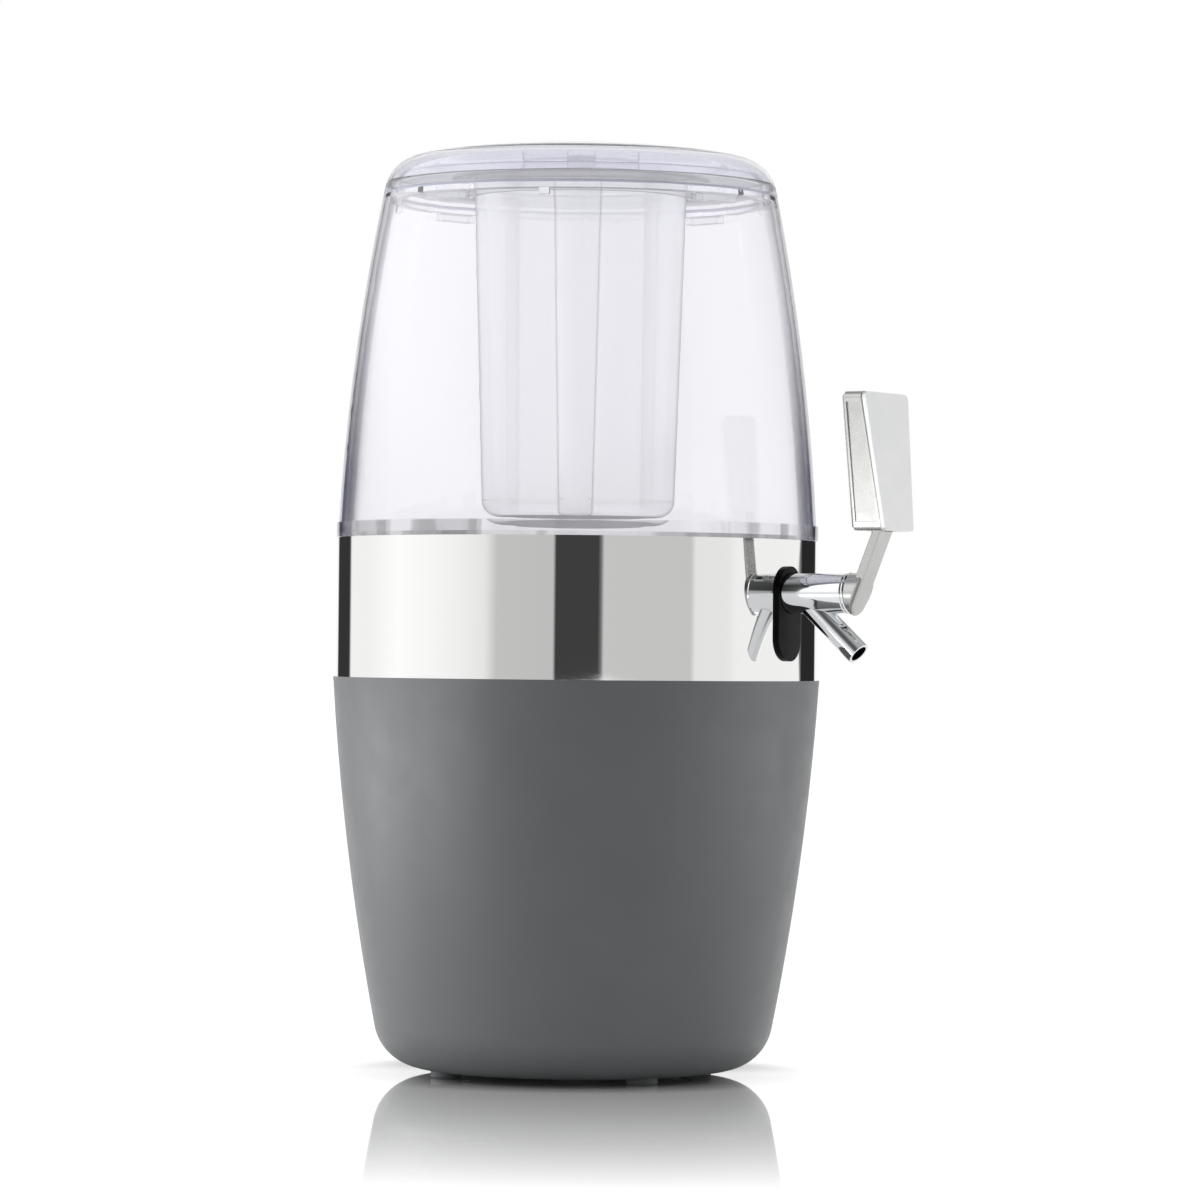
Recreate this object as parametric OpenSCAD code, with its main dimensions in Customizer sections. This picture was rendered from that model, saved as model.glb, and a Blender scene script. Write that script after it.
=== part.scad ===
// Table-top draft beer tower: a barrel-shaped drink dispenser.
// A hollow grey base lifts a clear tank high enough for a glass under the tap.
// A steel band hides the joint, an ice core hangs in the tank, and a plug valve pours.
// The origin is on the barrel's axis where it stands, +Z is up, and the tap points along -Y.

/* [Base] */
// outer radius of the base's top edge, which the band and the tank follow
base_top_r = 102; // [100:0.5:106]
// height of the base's top edge
base_top_z = 165.5; // [155:0.5:175]
// outer radius of the side near the bottom
base_foot_r = 83; // [80:0.5:86]
// height at which that lower radius is measured
base_foot_z = 18; // [16:0.5:22]
// radius of the side's long barrel curve
base_curve_r = 1130; // [900:10:1600]
// radius of the rounded bottom corner
base_corner_r = 21; // [16:0.5:24]
// wall thickness of the base moulding
base_wall = 3; // [2.4:0.1:4]
// radius of the recess that takes the bottom cover
cover_r = 50; // [44:0.5:52]
// thickness of the bottom cover
cover_t = 2.5; // [2:0.1:3.5]

/* [Feet] */
// height of a foot below the base
foot_h = 2.5; // [1.5:0.1:4]
// diameter of a foot
foot_d = 13; // [10:0.5:14]
// radius of the circle that the feet stand on
foot_ring_r = 59.5; // [58:0.5:61]
// angle of the first foot from the tap's direction
foot_angle = -30; // [-45:1:45]
// depth of the pocket that holds a foot
foot_pocket = 1.2; // [0.8:0.1:1.6]

/* [Steel band] */
// how far the band's face lies inside the base's edge
band_step = 0.8; // [0.4:0.1:1.6]
// thickness of the steel strip
band_t = 0.6; // [0.4:0.1:0.8]
// height of the band
band_h = 58.1; // [54:0.1:64]

/* [Tank] */
// how far the tank's wall lies inside the band's face at its foot
tank_step = 0.6; // [0.2:0.1:1.2]
// outer radius of the tank's wall at its top edge, which the neck and the dome follow
tank_top_r = 83; // [82:0.1:84]
// height of the bell above the band
tank_h = 143.2; // [136:0.1:150]
// radius of the wall's long barrel curve
tank_curve_r = 985; // [800:5:1400]
// wall thickness of the tank
tank_wall = 3; // [2.6:0.1:3.4]
// height of the ring at the tank's foot
foot_ring_h = 6; // [4:0.2:7]
// how far that ring stands out from the wall
foot_ring_out = 0.5; // [0.2:0.1:0.8]
// thickness of the tank's floor
floor_t = 4; // [3:0.2:6]
// height of the tank's floor above the base's edge
floor_up = 10.5; // [9:0.5:12]

/* [Bayonet neck] */
// thickness of the neck's inward lip
lip_t = 2.4; // [2:0.1:3]
// how far the neck's lip reaches in from the tank's wall
lip_in = 2.4; // [2:0.1:2.8]
// width of each lug, in degrees
lug_deg = 14; // [10:1:18]
// room on each side of a lug in its entry gap, in degrees
lug_room_deg = 3; // [2:0.5:5]
// angle of the first lug from the tap's direction
lug_angle = -13.5; // [-40:0.5:40]
// turn from the entry gap to the locked end, in degrees
lock_deg = 25; // [20:1:32]

/* [Carrier and lid] */
// thickness of the seal under the carrier
seal_t = 0.9; // [0.6:0.1:1.4]
// height of the carrier's outer ring
carrier_h = 4.1; // [3.8:0.1:5]
// thickness of the carrier's plate
carrier_plate = 2.6; // [2:0.1:3]
// how far the dome's rim lies inside the tank's top edge
dome_step = 1.1; // [1:0.1:2]
// height of the dome above its rim
dome_h = 17.4; // [16.8:0.1:19]
// radius of the dome's shallow crown
dome_crown_r = 420; // [380:5:500]
// radius of the dome's rounded shoulder
dome_shoulder_r = 16; // [14:0.5:18]
// wall thickness of the dome
dome_wall = 2.6; // [2.2:0.1:2.8]

/* [Ice core] */
// outer radius of the core under its flange
core_top_r = 44.5; // [42:0.5:46]
// outer radius of the core at its bottom, before the corner is rounded
core_bottom_r = 40.3; // [38:0.1:41]
// length of the core below its flange
core_len = 139; // [120:1:145]
// radius of the core's rounded bottom corner
core_corner_r = 7; // [5:0.5:10]
// wall thickness of the core
core_wall = 2.2; // [1.8:0.1:2.5]
// number of flutes round the core
flutes = 3; // [2:1:4]
// width of a flute at the top
flute_top_w = 19; // [16:0.5:20]
// width of a flute at the bottom
flute_bottom_w = 13.6; // [12:0.2:15]
// how far a flute's centre lies inside the core's surface
flute_in = 2.6; // [2:0.1:3.5]
// outer radius of the core's flange and of its cap
flange_r = 54; // [52:0.5:56]
// thickness of the core's flange
flange_t = 2.4; // [2.2:0.1:2.8]
// span of the cap's cross grip
grip_span = 50; // [40:1:56]
// thickness of the grip's ribs
grip_t = 11.8; // [9:0.2:13]
// height of the grip's ribs
grip_h = 7.8; // [6:0.1:8]

/* [Tap] */
// height of the tap's axis above the base's edge
tap_up = 36; // [32:0.5:38]
// diameter of the tap's barrel
barrel_d = 16.4; // [15.6:0.2:17]
// length of the barrel in front of the escutcheon
barrel_len = 27.5; // [26:0.1:29]
// diameter of the threaded shank
shank_d = 14; // [13.6:0.1:14.4]
// diameter of the valve plug
plug_d = 11; // [10.6:0.1:11.4]
// radial clearance of the plug in its chamber
plug_clear = 0.05; // [0.02:0.01:0.1]
// angle of the spout below the level
spout_angle = 42; // [40:1:46]
// outer diameter of the spout
spout_d = 9.8; // [9:0.1:10.6]
// bore of the spout
spout_bore = 7.5; // [7:0.1:7.8]
// where the spout's axis leaves the barrel's axis, from the barrel's seat
spout_from = 5.1; // [4.5:0.1:6]
// length of the spout along its axis, from the barrel's axis
spout_len = 36.6; // [34:0.2:40]
// diameter of the valve's port
port_d = 5.4; // [4.8:0.1:5.8]
// width of the escutcheon
plate_w = 18.4; // [18.2:0.1:21]
// height of the escutcheon
plate_h = 39; // [36:0.5:42]
// how far the escutcheon's round top lies above the barrel's own circle
plate_up = 1.9; // [1:0.1:2.5]
// thickness of the escutcheon
plate_t = 1.6; // [1.5:0.1:2.4]

/* [Lever] */
// length of the collar at the barrel's end
collar_len = 1.6; // [1.4:0.1:2]
// radius of the lever's hub
hub_r = 8.4; // [8:0.1:9]
// length of the lever's hub on the tap's axis
hub_t = 3.9; // [3.8:0.1:5]
// width of the lever arm
arm_w = 10.8; // [10:0.2:12]
// thickness of the lever arm
arm_t = 4; // [3.8:0.1:4.6]
// outward lean of the arm
arm_lean = 22; // [20:0.5:24]
// height of the paddle's foot above the tap's axis
paddle_up = 25.3; // [24:0.1:28]
// height of the paddle
paddle_h = 56.2; // [50:0.2:62]
// width of the paddle's front at its foot
paddle_foot_w = 25.4; // [24:0.2:28]
// width of the paddle's front at its top
paddle_top_w = 37; // [33:0.2:40]
// thickness of the paddle at its foot
paddle_foot_t = 15.4; // [13.4:0.2:16]
// thickness of the paddle at its top
paddle_top_t = 10.6; // [9:0.2:11.6]
// backward lean of the paddle's front from foot to top
paddle_back = 6.6; // [4:0.1:7]
// width of the bevel round the paddle's back
paddle_edge = 1.5; // [0.8:0.1:1.7]
// thickness of the plain badge plate
badge_t = 1.6; // [1.2:0.1:2]

/* [Hidden] */
$fn = 96;
tap_dir = -90;
fit = 0.15;
loose = 0.4;

band_r = base_top_r - band_step;
tank_foot_r = band_r - tank_step;
band_z = base_top_z;
tank_z = band_z + band_h + 0.3;
tank_top_z = tank_z + tank_h;
skirt_r = band_r - band_t - fit;
skirt_in = skirt_r - tank_wall;
skirt_z = base_top_z + 3;
floor_z = base_top_z + floor_up;
floor_r = skirt_in - 0.2;

seat_z = tank_top_z + seal_t;
plate_z = seat_z + carrier_h;
flange_top = plate_z + flange_t;
core_z = plate_z - core_len;
hole_r = core_top_r + 0.7;
neck_in = tank_top_r - tank_wall;
lip_r = neck_in - lip_in;
dome_rim_r = tank_top_r - dome_step;
lug_out = neck_in - loose;
skirt_ring_r = lip_r - loose;
skirt_ring_in = skirt_ring_r - 2.2;
lip_z = tank_top_z - lip_t;
lug_z = lip_z - 0.4;
lug_t = 3;
dome_top = plate_z + dome_h;

tap_z = base_top_z + tap_up;
band_face = band_r;
plate_face = band_face + plate_t;
seat_t = plate_face - 0.6;
barrel_end = seat_t + barrel_len;
spout_t0 = seat_t + spout_from;
chamber_r = plug_d / 2 + plug_clear;
chamber_t = spout_t0 - 1.2;
port_t = spout_t0 + plug_d / 2 / tan(spout_angle);
stem_r = 4;
hub_t0 = barrel_end + collar_len + 0.3;
hub_t1 = hub_t0 + hub_t;
pad_t = skirt_in - 2;
washer_t = 2;
nut_t = 6.5;
shank_past = 1.95;
set_screw_r = 1.2;
set_screw_t = hub_t0 + 1.7;
shank_end = pad_t - washer_t - nut_t - shank_past;
hole_tap_r = shank_d / 2 + 0.3;

pad_in = 7;
pad_w = 16;
pad_h = 5;
pad_ring_r = base_top_r - 15;
pad_z = base_top_z - 15;
screw_r = 1.6;
screw_grip = 11;
screw_head_r = 3.8;
screw_head_h = 2.4;
cover_screw_in = 4;
cover_screw_len = 5;
cover_head_r = 3;
cover_head_h = 1;
cover_sink = 1.2;
floor_reach = 5.5;
floor_rim = 3;
groove_z = skirt_z + 2;
groove_h = 2.5;
groove_d = 2;
boss_r = 5;
gasket_t = 0.5;
gasket_w = 1.2;
cap_seal_in = 8;
cap_seal_w = 2.4;
screw_angles = [45, 135, 225, 315];

arm_proud = 1.3;
arm_drop = 9.3;
arm_half = arm_t / 2 / cos(arm_lean);
arm_foot_t = hub_t1 + arm_proud - arm_half;
tenon_t = arm_foot_t + paddle_up * tan(arm_lean);
tenon_h = 14;
arm_edge = 0.6;
paddle_ahead = 7.5;
paddle_foot_round = 1.8;
paddle_top_round = 2.6;
paddle_front = tenon_t + paddle_ahead;
paddle_lean = atan(paddle_back / paddle_h);
paddle_side = atan((paddle_top_w - paddle_foot_w) / 2 / paddle_h);
badge_inset = 0.2;
badge_out = 0.4;
paddle_hollow = 5;

// Centre of the circle of radius r through two points, on the axis side of them.
function arc_centre(a, b, r) =
    let (m = (a + b) / 2, d = b - a, h = sqrt(r * r - d * d / 4), n = [-d[1], d[0]] / norm(d))
    m + (n[0] < 0 ? n : -n) * h;

// The point at distance r1 from c1 and r2 from c2 that lies nearer the axis.
function circles_meet(c1, r1, c2, r2) =
    let (
        d = norm(c2 - c1),
        a = (r1 * r1 - r2 * r2 + d * d) / (2 * d),
        h = sqrt(r1 * r1 - a * a),
        u = (c2 - c1) / d,
        p = c1 + u * a + [-u[1], u[0]] * h,
        q = c1 + u * a - [-u[1], u[0]] * h
    )
    p[0] < q[0] ? p : q;

base_c = arc_centre([base_foot_r, base_foot_z], [base_top_r, base_top_z], base_curve_r);
base_corner_z = foot_h + base_corner_r;
base_corner = [
    base_c[0] + sqrt(pow(base_curve_r - base_corner_r, 2) - pow(base_corner_z - base_c[1], 2)),
    base_corner_z
];
base_dir = (base_corner - base_c) / norm(base_corner - base_c);

tank_c = arc_centre([tank_foot_r, tank_z], [tank_top_r, tank_top_z], tank_curve_r);

dome_c = [0, dome_top - dome_crown_r];
dome_corner = circles_meet(
    dome_c, dome_crown_r - dome_shoulder_r, [dome_rim_r, plate_z], dome_shoulder_r
);
dome_dir = (dome_corner - dome_c) / norm(dome_corner - dome_c);

core_k = (core_top_r - core_bottom_r) / core_len;
core_s = sqrt(1 + core_k * core_k);

// Radius of the tank's outer wall at height z.
function tank_r(z) = tank_c[0] + sqrt(pow(tank_curve_r, 2) - pow(z - tank_c[1], 2));

// Places children in the tap's frame: X across, Y up, Z outward from the barrel's axis.
module along_tap(t = 0) {
    translate([0, -t, tap_z]) rotate([90, 0, 0]) children();
}

// Stands an outline drawn as (outward, up) on edge and gives it a width across the tap.
module side_plate(w) {
    rotate([0, -90, 0]) linear_extrude(w, center = true) children();
}

// Repeats children at the given angles about the barrel's axis.
module around(angles) {
    for (a = angles) rotate(a) children();
}

// A sector of a revolved outline, centred on the X axis.
module sector(deg) {
    rotate(-deg / 2) rotate_extrude(angle = deg) children();
}

// A rectangle of a profile between two radii and two heights.
module ring_box(r0, r1, z0, z1) {
    translate([r0, z0]) square([r1 - r0, z1 - z0]);
}

// Filled half outline of the base, inset by d, up to height top.
module base_outline(d, top) {
    t = base_c + base_dir * (base_curve_r - d);
    intersection() {
        translate(base_c) circle(base_curve_r - d, $fn = 720);
        ring_box(0, base_top_r + 20, t[1], top);
    }
    intersection() {
        translate(base_corner) circle(base_corner_r - d);
        ring_box(base_corner[0], base_top_r, foot_h + d, t[1]);
    }
    polygon([[0, foot_h + d], [base_corner[0], foot_h + d], base_corner, t, [0, t[1]]]);
}

// Wall of the tank between its outer curve and the same curve inset by the wall.
module tank_wall_outline() {
    intersection() {
        translate(tank_c) difference() {
            circle(tank_curve_r, $fn = 720);
            circle(tank_curve_r - tank_wall, $fn = 720);
        }
        ring_box(0, tank_foot_r + 20, tank_z, tank_top_z);
    }
}

// Filled half outline of the dome, inset by d.
module dome_outline(d) {
    t = dome_c + dome_dir * (dome_crown_r - d);
    intersection() {
        translate(dome_c) circle(dome_crown_r - d, $fn = 720);
        ring_box(0, t[0], plate_z + 5, dome_top + 5);
    }
    intersection() {
        translate(dome_corner) circle(dome_shoulder_r - d);
        ring_box(t[0], dome_rim_r + 5, plate_z - d, dome_top);
    }
    ring_box(0, t[0], plate_z - d, plate_z + 6);
}

// Filled half outline of the core's cup, inset by d, up to height top.
module core_outline(d, top) {
    q = core_corner_r - d;
    c = [core_bottom_r + core_corner_r * (core_k - core_s), core_z + core_corner_r];
    t = c + [1, -core_k] * (q / core_s);
    polygon([
        [0, core_z + d], [c[0], core_z + d], c, t,
        [t[0] + (top - t[1]) * core_k, top], [0, top]
    ]);
    intersection() {
        translate(c) circle(q);
        ring_box(c[0], core_top_r, core_z + d, t[1]);
    }
}

// The tapered round channels down the core's side, grown by d.
module core_flutes(d) {
    top = plate_z - 3.2 + d;
    r_low = core_bottom_r - flute_in;
    r_top = core_top_r - flute_in;
    lean = atan((r_top - r_low) / core_len);
    for (i = [0 : flutes - 1])
        rotate(tap_dir + 180 + i * 360 / flutes)
            intersection() {
                translate([r_low, 0, core_z])
                    rotate([0, lean, 0])
                        translate([0, 0, -6])
                            cylinder(
                                r1 = flute_bottom_w / 2 + d - 0.1,
                                r2 = flute_top_w / 2 + d,
                                h = core_len + 6
                            );
                translate([0, -core_top_r, core_z - core_top_r])
                    cube([2 * core_top_r, 2 * core_top_r, top - core_z + core_top_r]);
            }
}

// A plain round screw along +Z: head below z = 0, shank above it.
module screw(r, len, head_r, head_h) {
    cylinder(r = r, h = len);
    translate([0, 0, -head_h]) cylinder(r = head_r, h = head_h);
}

module base_shell() {
    color("#6b6d6e") difference() {
        union() {
            rotate_extrude() difference() {
                base_outline(0, base_top_z);
                base_outline(base_wall, base_top_z + 1);
            }
            // ledge that the bottom cover bears on
            rotate_extrude() ring_box(cover_r - 8, cover_r + 4, foot_h + cover_t, foot_h + cover_t + 3);
            // pads for the tank's screws, cut to the inside of the wall
            intersection() {
                rotate_extrude() base_outline(base_wall / 2, base_top_z);
                around(screw_angles)
                    translate([pad_ring_r - pad_in, -pad_w / 2, pad_z])
                        cube([base_top_r - pad_ring_r + pad_in, pad_w, pad_h]);
            }
        }
        translate([0, 0, foot_h - 1]) cylinder(r = cover_r - 8, h = 12);
        translate([0, 0, foot_h - 1]) cylinder(r = cover_r, h = cover_t + 1);
        around(screw_angles) translate([pad_ring_r, 0, pad_z - 1]) cylinder(r = screw_r + 0.5, h = pad_h + 2);
        around(screw_angles) translate([cover_r - cover_screw_in, 0, foot_h]) cylinder(r = screw_r, h = 12);
        around([for (i = [0 : 3]) tap_dir + foot_angle + i * 90])
            translate([foot_ring_r, 0, 0]) cylinder(r = foot_d / 2 + fit, h = foot_h + foot_pocket);
    }
}

module bottom_cover() {
    color("#55575a") difference() {
        translate([0, 0, foot_h]) cylinder(r = cover_r - 0.3, h = cover_t);
        around(screw_angles) translate([cover_r - cover_screw_in, 0, foot_h - 1]) {
            cylinder(r = screw_r + 0.4, h = cover_t + 2);
            cylinder(r = cover_head_r + 0.2, h = 1 + cover_sink);
        }
    }
}

module cover_screws() {
    color("#9a9ca0") around(screw_angles)
        translate([cover_r - cover_screw_in, 0, foot_h + cover_sink])
            screw(screw_r, cover_screw_len, cover_head_r, cover_head_h);
}

module rubber_feet() {
    color("#5c5e60") around([for (i = [0 : 3]) tap_dir + foot_angle + i * 90])
        translate([foot_ring_r, 0, 0]) rotate_extrude()
            polygon([
                [0, 0], [foot_d / 2 - 0.6, 0], [foot_d / 2, 0.6],
                [foot_d / 2, foot_h + foot_pocket], [0, foot_h + foot_pocket]
            ]);
}

module steel_band() {
    color("#d8dadc") difference() {
        rotate_extrude() ring_box(band_r - band_t, band_r, band_z, band_z + band_h);
        along_tap(band_r / 2) cylinder(r = hole_tap_r, h = band_r);
    }
}

module tank() {
    color("#eef1f6", 0.35) difference() {
        union() {
            rotate_extrude() union() {
                tank_wall_outline();
                ring_box(skirt_in, skirt_r, skirt_z, tank_z + 1.5);
                ring_box(skirt_in + 0.5, tank_foot_r + foot_ring_out, tank_z, tank_z + foot_ring_h);
                ring_box(lip_r, neck_in + 1, lip_z, tank_top_z);
            }
            // flat pad inside the wall for the tap's washer
            along_tap(pad_t) cylinder(r = 15, h = 3.5);
            // stops at the end of the bayonet's turn
            around([for (i = [0 : 3]) tap_dir + lug_angle + lock_deg + lug_deg / 2 + 2.5 + i * 90])
                sector(3) ring_box(neck_in - 1.6, neck_in + 1, lug_z - 2.4, tank_top_z - 0.5);
        }
        // entry gaps for the carrier's lugs
        around([for (i = [0 : 3]) tap_dir + lug_angle + i * 90])
            sector(lug_deg + 2 * lug_room_deg) ring_box(lip_r - 5, neck_in, lip_z - 1, tank_top_z + 1);
        along_tap(pad_t - tank_wall) cylinder(r = hole_tap_r, h = band_r - pad_t + 2 * tank_wall);
    }
}

module tank_floor() {
    low = base_top_z - floor_reach;
    inner = floor_r - floor_rim;
    color("#e4e8ee", 0.5) difference() {
        union() {
            rotate_extrude() union() {
                ring_box(0, floor_r, floor_z - floor_t, floor_z);
                ring_box(inner, floor_r, base_top_z, floor_z);
                ring_box(inner, skirt_r - fit, base_top_z, skirt_z);
                ring_box(inner, base_top_r - base_wall - 0.8, low, skirt_z);
            }
            around(screw_angles)
                translate([pad_ring_r, 0, pad_z + pad_h])
                    cylinder(r = boss_r, h = floor_z - 1 - pad_z - pad_h);
        }
        rotate_extrude() ring_box(floor_r - groove_d, floor_r + groove_d, groove_z, groove_z + groove_h);
        around(screw_angles) translate([pad_ring_r, 0, pad_z])
            cylinder(r = screw_r, h = pad_h + screw_grip + 2);
    }
}

module floor_seal() {
    color("#c8ccd0") rotate_extrude()
        ring_box(floor_r - groove_d, skirt_in, groove_z, groove_z + groove_h);
}

module tank_screws() {
    color("#9a9ca0") around(screw_angles)
        translate([pad_ring_r, 0, pad_z]) screw(screw_r, pad_h + screw_grip, screw_head_r, screw_head_h);
}

module tap_body() {
    color("#c9ccd0") difference() {
        union() {
            along_tap(shank_end) cylinder(d = shank_d, h = seat_t - shank_end + 1);
            along_tap() rotate_extrude() polygon([
                [0, seat_t], [barrel_d / 2, seat_t], [barrel_d / 2, barrel_end - 0.5],
                [barrel_d / 2 - 0.5, barrel_end], [0, barrel_end]
            ]);
            along_tap(spout_t0) rotate([spout_angle, 0, 0]) cylinder(d = spout_d, h = spout_len);
        }
        along_tap(shank_end - 1) cylinder(d = port_d, h = chamber_t - shank_end + 2);
        along_tap(chamber_t) cylinder(r = chamber_r, h = barrel_end - chamber_t + 1);
        along_tap(spout_t0) rotate([spout_angle, 0, 0]) {
            cylinder(d = port_d, h = spout_len + 1);
            translate([0, 0, spout_len - 18]) cylinder(d = spout_bore, h = 20);
        }
    }
}

// Upright outline with round ends, its upper end centred on the origin.
module stadium(w, h) {
    circle(d = w);
    translate([0, -(h - w)]) circle(d = w);
    translate([-w / 2, -(h - w)]) square([w, h - w]);
}

module tap_escutcheon() {
    color("#0d0d0e") difference() {
        intersection() {
            along_tap(band_r - plate_w / 2) linear_extrude(plate_w)
                translate([0, plate_up]) stadium(plate_w, plate_h);
            rotate_extrude() ring_box(band_face, plate_face, tap_z - plate_h, tap_z + plate_h);
        }
        along_tap(band_r / 2) cylinder(r = hole_tap_r, h = band_r);
        along_tap(seat_t) cylinder(d = barrel_d + 0.6, h = plate_w);
        intersection() {
            along_tap(band_r - plate_w / 2) cylinder(r = hole_tap_r + gasket_w, h = plate_w);
            rotate_extrude()
                ring_box(band_face - 1, band_face + gasket_t, tap_z - plate_h, tap_z + plate_h);
        }
    }
}

module tap_outer_gasket() {
    color("#2a2a2c") difference() {
        intersection() {
            along_tap(band_r - plate_w / 2) cylinder(r = hole_tap_r + gasket_w - fit, h = plate_w);
            rotate_extrude() ring_box(band_face, band_face + gasket_t, tap_z - plate_h, tap_z + plate_h);
        }
        along_tap(band_r / 2) cylinder(r = hole_tap_r, h = band_r);
    }
}

module tap_inner_washer() {
    color("#d0d2d4") along_tap(pad_t - washer_t) difference() {
        cylinder(r = 13, h = washer_t);
        translate([0, 0, -1]) cylinder(r = hole_tap_r, h = washer_t + 2);
    }
}

module tap_nut() {
    color("#e6e6e8") along_tap(pad_t - washer_t - nut_t) difference() {
        cylinder(r = 13.2, h = nut_t, $fn = 6);
        translate([0, 0, -1]) cylinder(d = shank_d, h = nut_t + 2);
    }
}

module tap_collar() {
    r = barrel_d / 2 + 0.3;
    color("#c9ccd0") along_tap() rotate_extrude() polygon([
        [stem_r + 0.3, barrel_end], [r - 0.6, barrel_end], [r, barrel_end + 0.6],
        [r, barrel_end + collar_len - 0.6], [r - 0.6, barrel_end + collar_len],
        [stem_r + 0.3, barrel_end + collar_len]
    ]);
}

module valve_plug() {
    inner = chamber_t + 0.3;
    outer = barrel_end - 0.3;
    color("#b9bcc0") difference() {
        union() {
            along_tap(inner) cylinder(d = plug_d, h = outer - inner);
            along_tap(inner) cylinder(r = stem_r, h = hub_t1 - 1 - inner);
        }
        along_tap(inner - 1) cylinder(d = port_d, h = port_t - inner + port_d / 2 + 1);
        along_tap(port_t) rotate([0, 90, 0]) cylinder(d = port_d, h = plug_d);
        for (t = [outer - 2.6, outer - 6]) along_tap(t) difference() {
            cylinder(d = plug_d + 4, h = 1.6);
            translate([0, 0, -1]) cylinder(d = plug_d - 2.2, h = 4);
        }
        // flat for the set screw
        along_tap(hub_t0) translate([stem_r - 0.8, -5, 0]) cube([1.8, 10, hub_t]);
    }
}

module valve_o_rings() {
    outer = barrel_end - 0.3;
    color("#1c1c1e") for (t = [outer - 2.6, outer - 6]) along_tap(t) difference() {
        cylinder(d = plug_d, h = 1.6);
        translate([0, 0, -1]) cylinder(d = plug_d - 2.2, h = 4);
    }
}

// Outline of the leaning bar, inset by d: round below the tap's axis, square in the paddle's foot.
module arm_outline(d) {
    translate([0, arm_w / 2 - arm_drop]) circle(arm_w / 2 - d);
    translate([d - arm_w / 2, arm_w / 2 - arm_drop])
        square([arm_w - 2 * d, (paddle_up + 1.2) / cos(arm_lean) - arm_w / 2 + arm_drop - d]);
}

module lever_arm() {
    color("#c9ccd0") difference() {
        union() {
            // hub with a slanting front, and the bar that lies against it and leans out
            along_tap(hub_t0) intersection() {
                cylinder(r = hub_r, h = 3 * hub_t);
                side_plate(3 * hub_r) polygon([
                    [0, -hub_r], [max(0.2, hub_t - hub_r * tan(arm_lean)), -hub_r],
                    [hub_t + hub_r * tan(arm_lean), hub_r], [0, hub_r]
                ]);
            }
            intersection() {
                along_tap(arm_foot_t) rotate([arm_lean, 0, 0]) hull() for (e = [0, arm_edge])
                    linear_extrude(arm_t - 2 * arm_edge + 2 * e, center = true) arm_outline(e);
                along_tap(hub_t0) translate([-arm_w, -2 * arm_drop, 0])
                    cube([2 * arm_w, paddle_up + 3 * arm_drop, 60]);
            }
            // tenon inside the paddle
            along_tap() side_plate(9) translate([tenon_t - arm_t / 2, paddle_up - 0.5])
                square([arm_t, tenon_h + 0.5]);
        }
        along_tap(hub_t0 - 1) difference() {
            cylinder(r = stem_r + 0.02, h = hub_t);
            translate([stem_r - 0.8, -5, 0]) cube([1.8, 10, hub_t]);
        }
        along_tap(set_screw_t) rotate([0, 90, 0]) cylinder(r = set_screw_r, h = hub_r + 2);
        along_tap(tenon_t) translate([0, paddle_up + tenon_h - 5, -10]) cylinder(r = 1.3, h = 12);
    }
}

module lever_set_screw() {
    color("#8f9296") along_tap(set_screw_t) rotate([0, 90, 0])
        translate([0, 0, stem_r - 0.8]) cylinder(r = set_screw_r, h = hub_r - stem_r);
}

// One rounded corner post of the paddle, bevelled at both ends.
module paddle_post(x, up, front, t, r) {
    translate([x, up, front - t]) cylinder(r = r - paddle_edge, h = t);
    translate([x, up, front - t + paddle_edge]) cylinder(r = r, h = t - 2 * paddle_edge);
}

// The paddle's full wedge with rounded corners.
module paddle_block() {
    foot = paddle_foot_round;
    top = paddle_top_round;
    along_tap() hull() for (s = [-1, 1]) {
        paddle_post(s * (paddle_foot_w / 2 - foot), paddle_up + foot, paddle_front, paddle_foot_t, foot);
        paddle_post(s * (paddle_top_w / 2 - top), paddle_up + paddle_h - top,
            paddle_front - paddle_back, paddle_top_t, top);
    }
}

// Frame on the paddle's leaning front face: X across, Y up the face, Z out of it.
module on_front() {
    along_tap(paddle_front) translate([0, paddle_up, 0]) rotate([-paddle_lean, 0, 0]) children();
}

// Outline of the badge, inset from the paddle's front by d.
module badge_outline(d) {
    h = paddle_h / cos(paddle_lean);
    foot = paddle_foot_round;
    top = paddle_top_round;
    hull() for (s = [-1, 1]) {
        translate([s * (paddle_foot_w / 2 - foot), foot]) circle(foot - d);
        translate([s * (paddle_top_w / 2 - top), h - top]) circle(top - d);
    }
}

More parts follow.
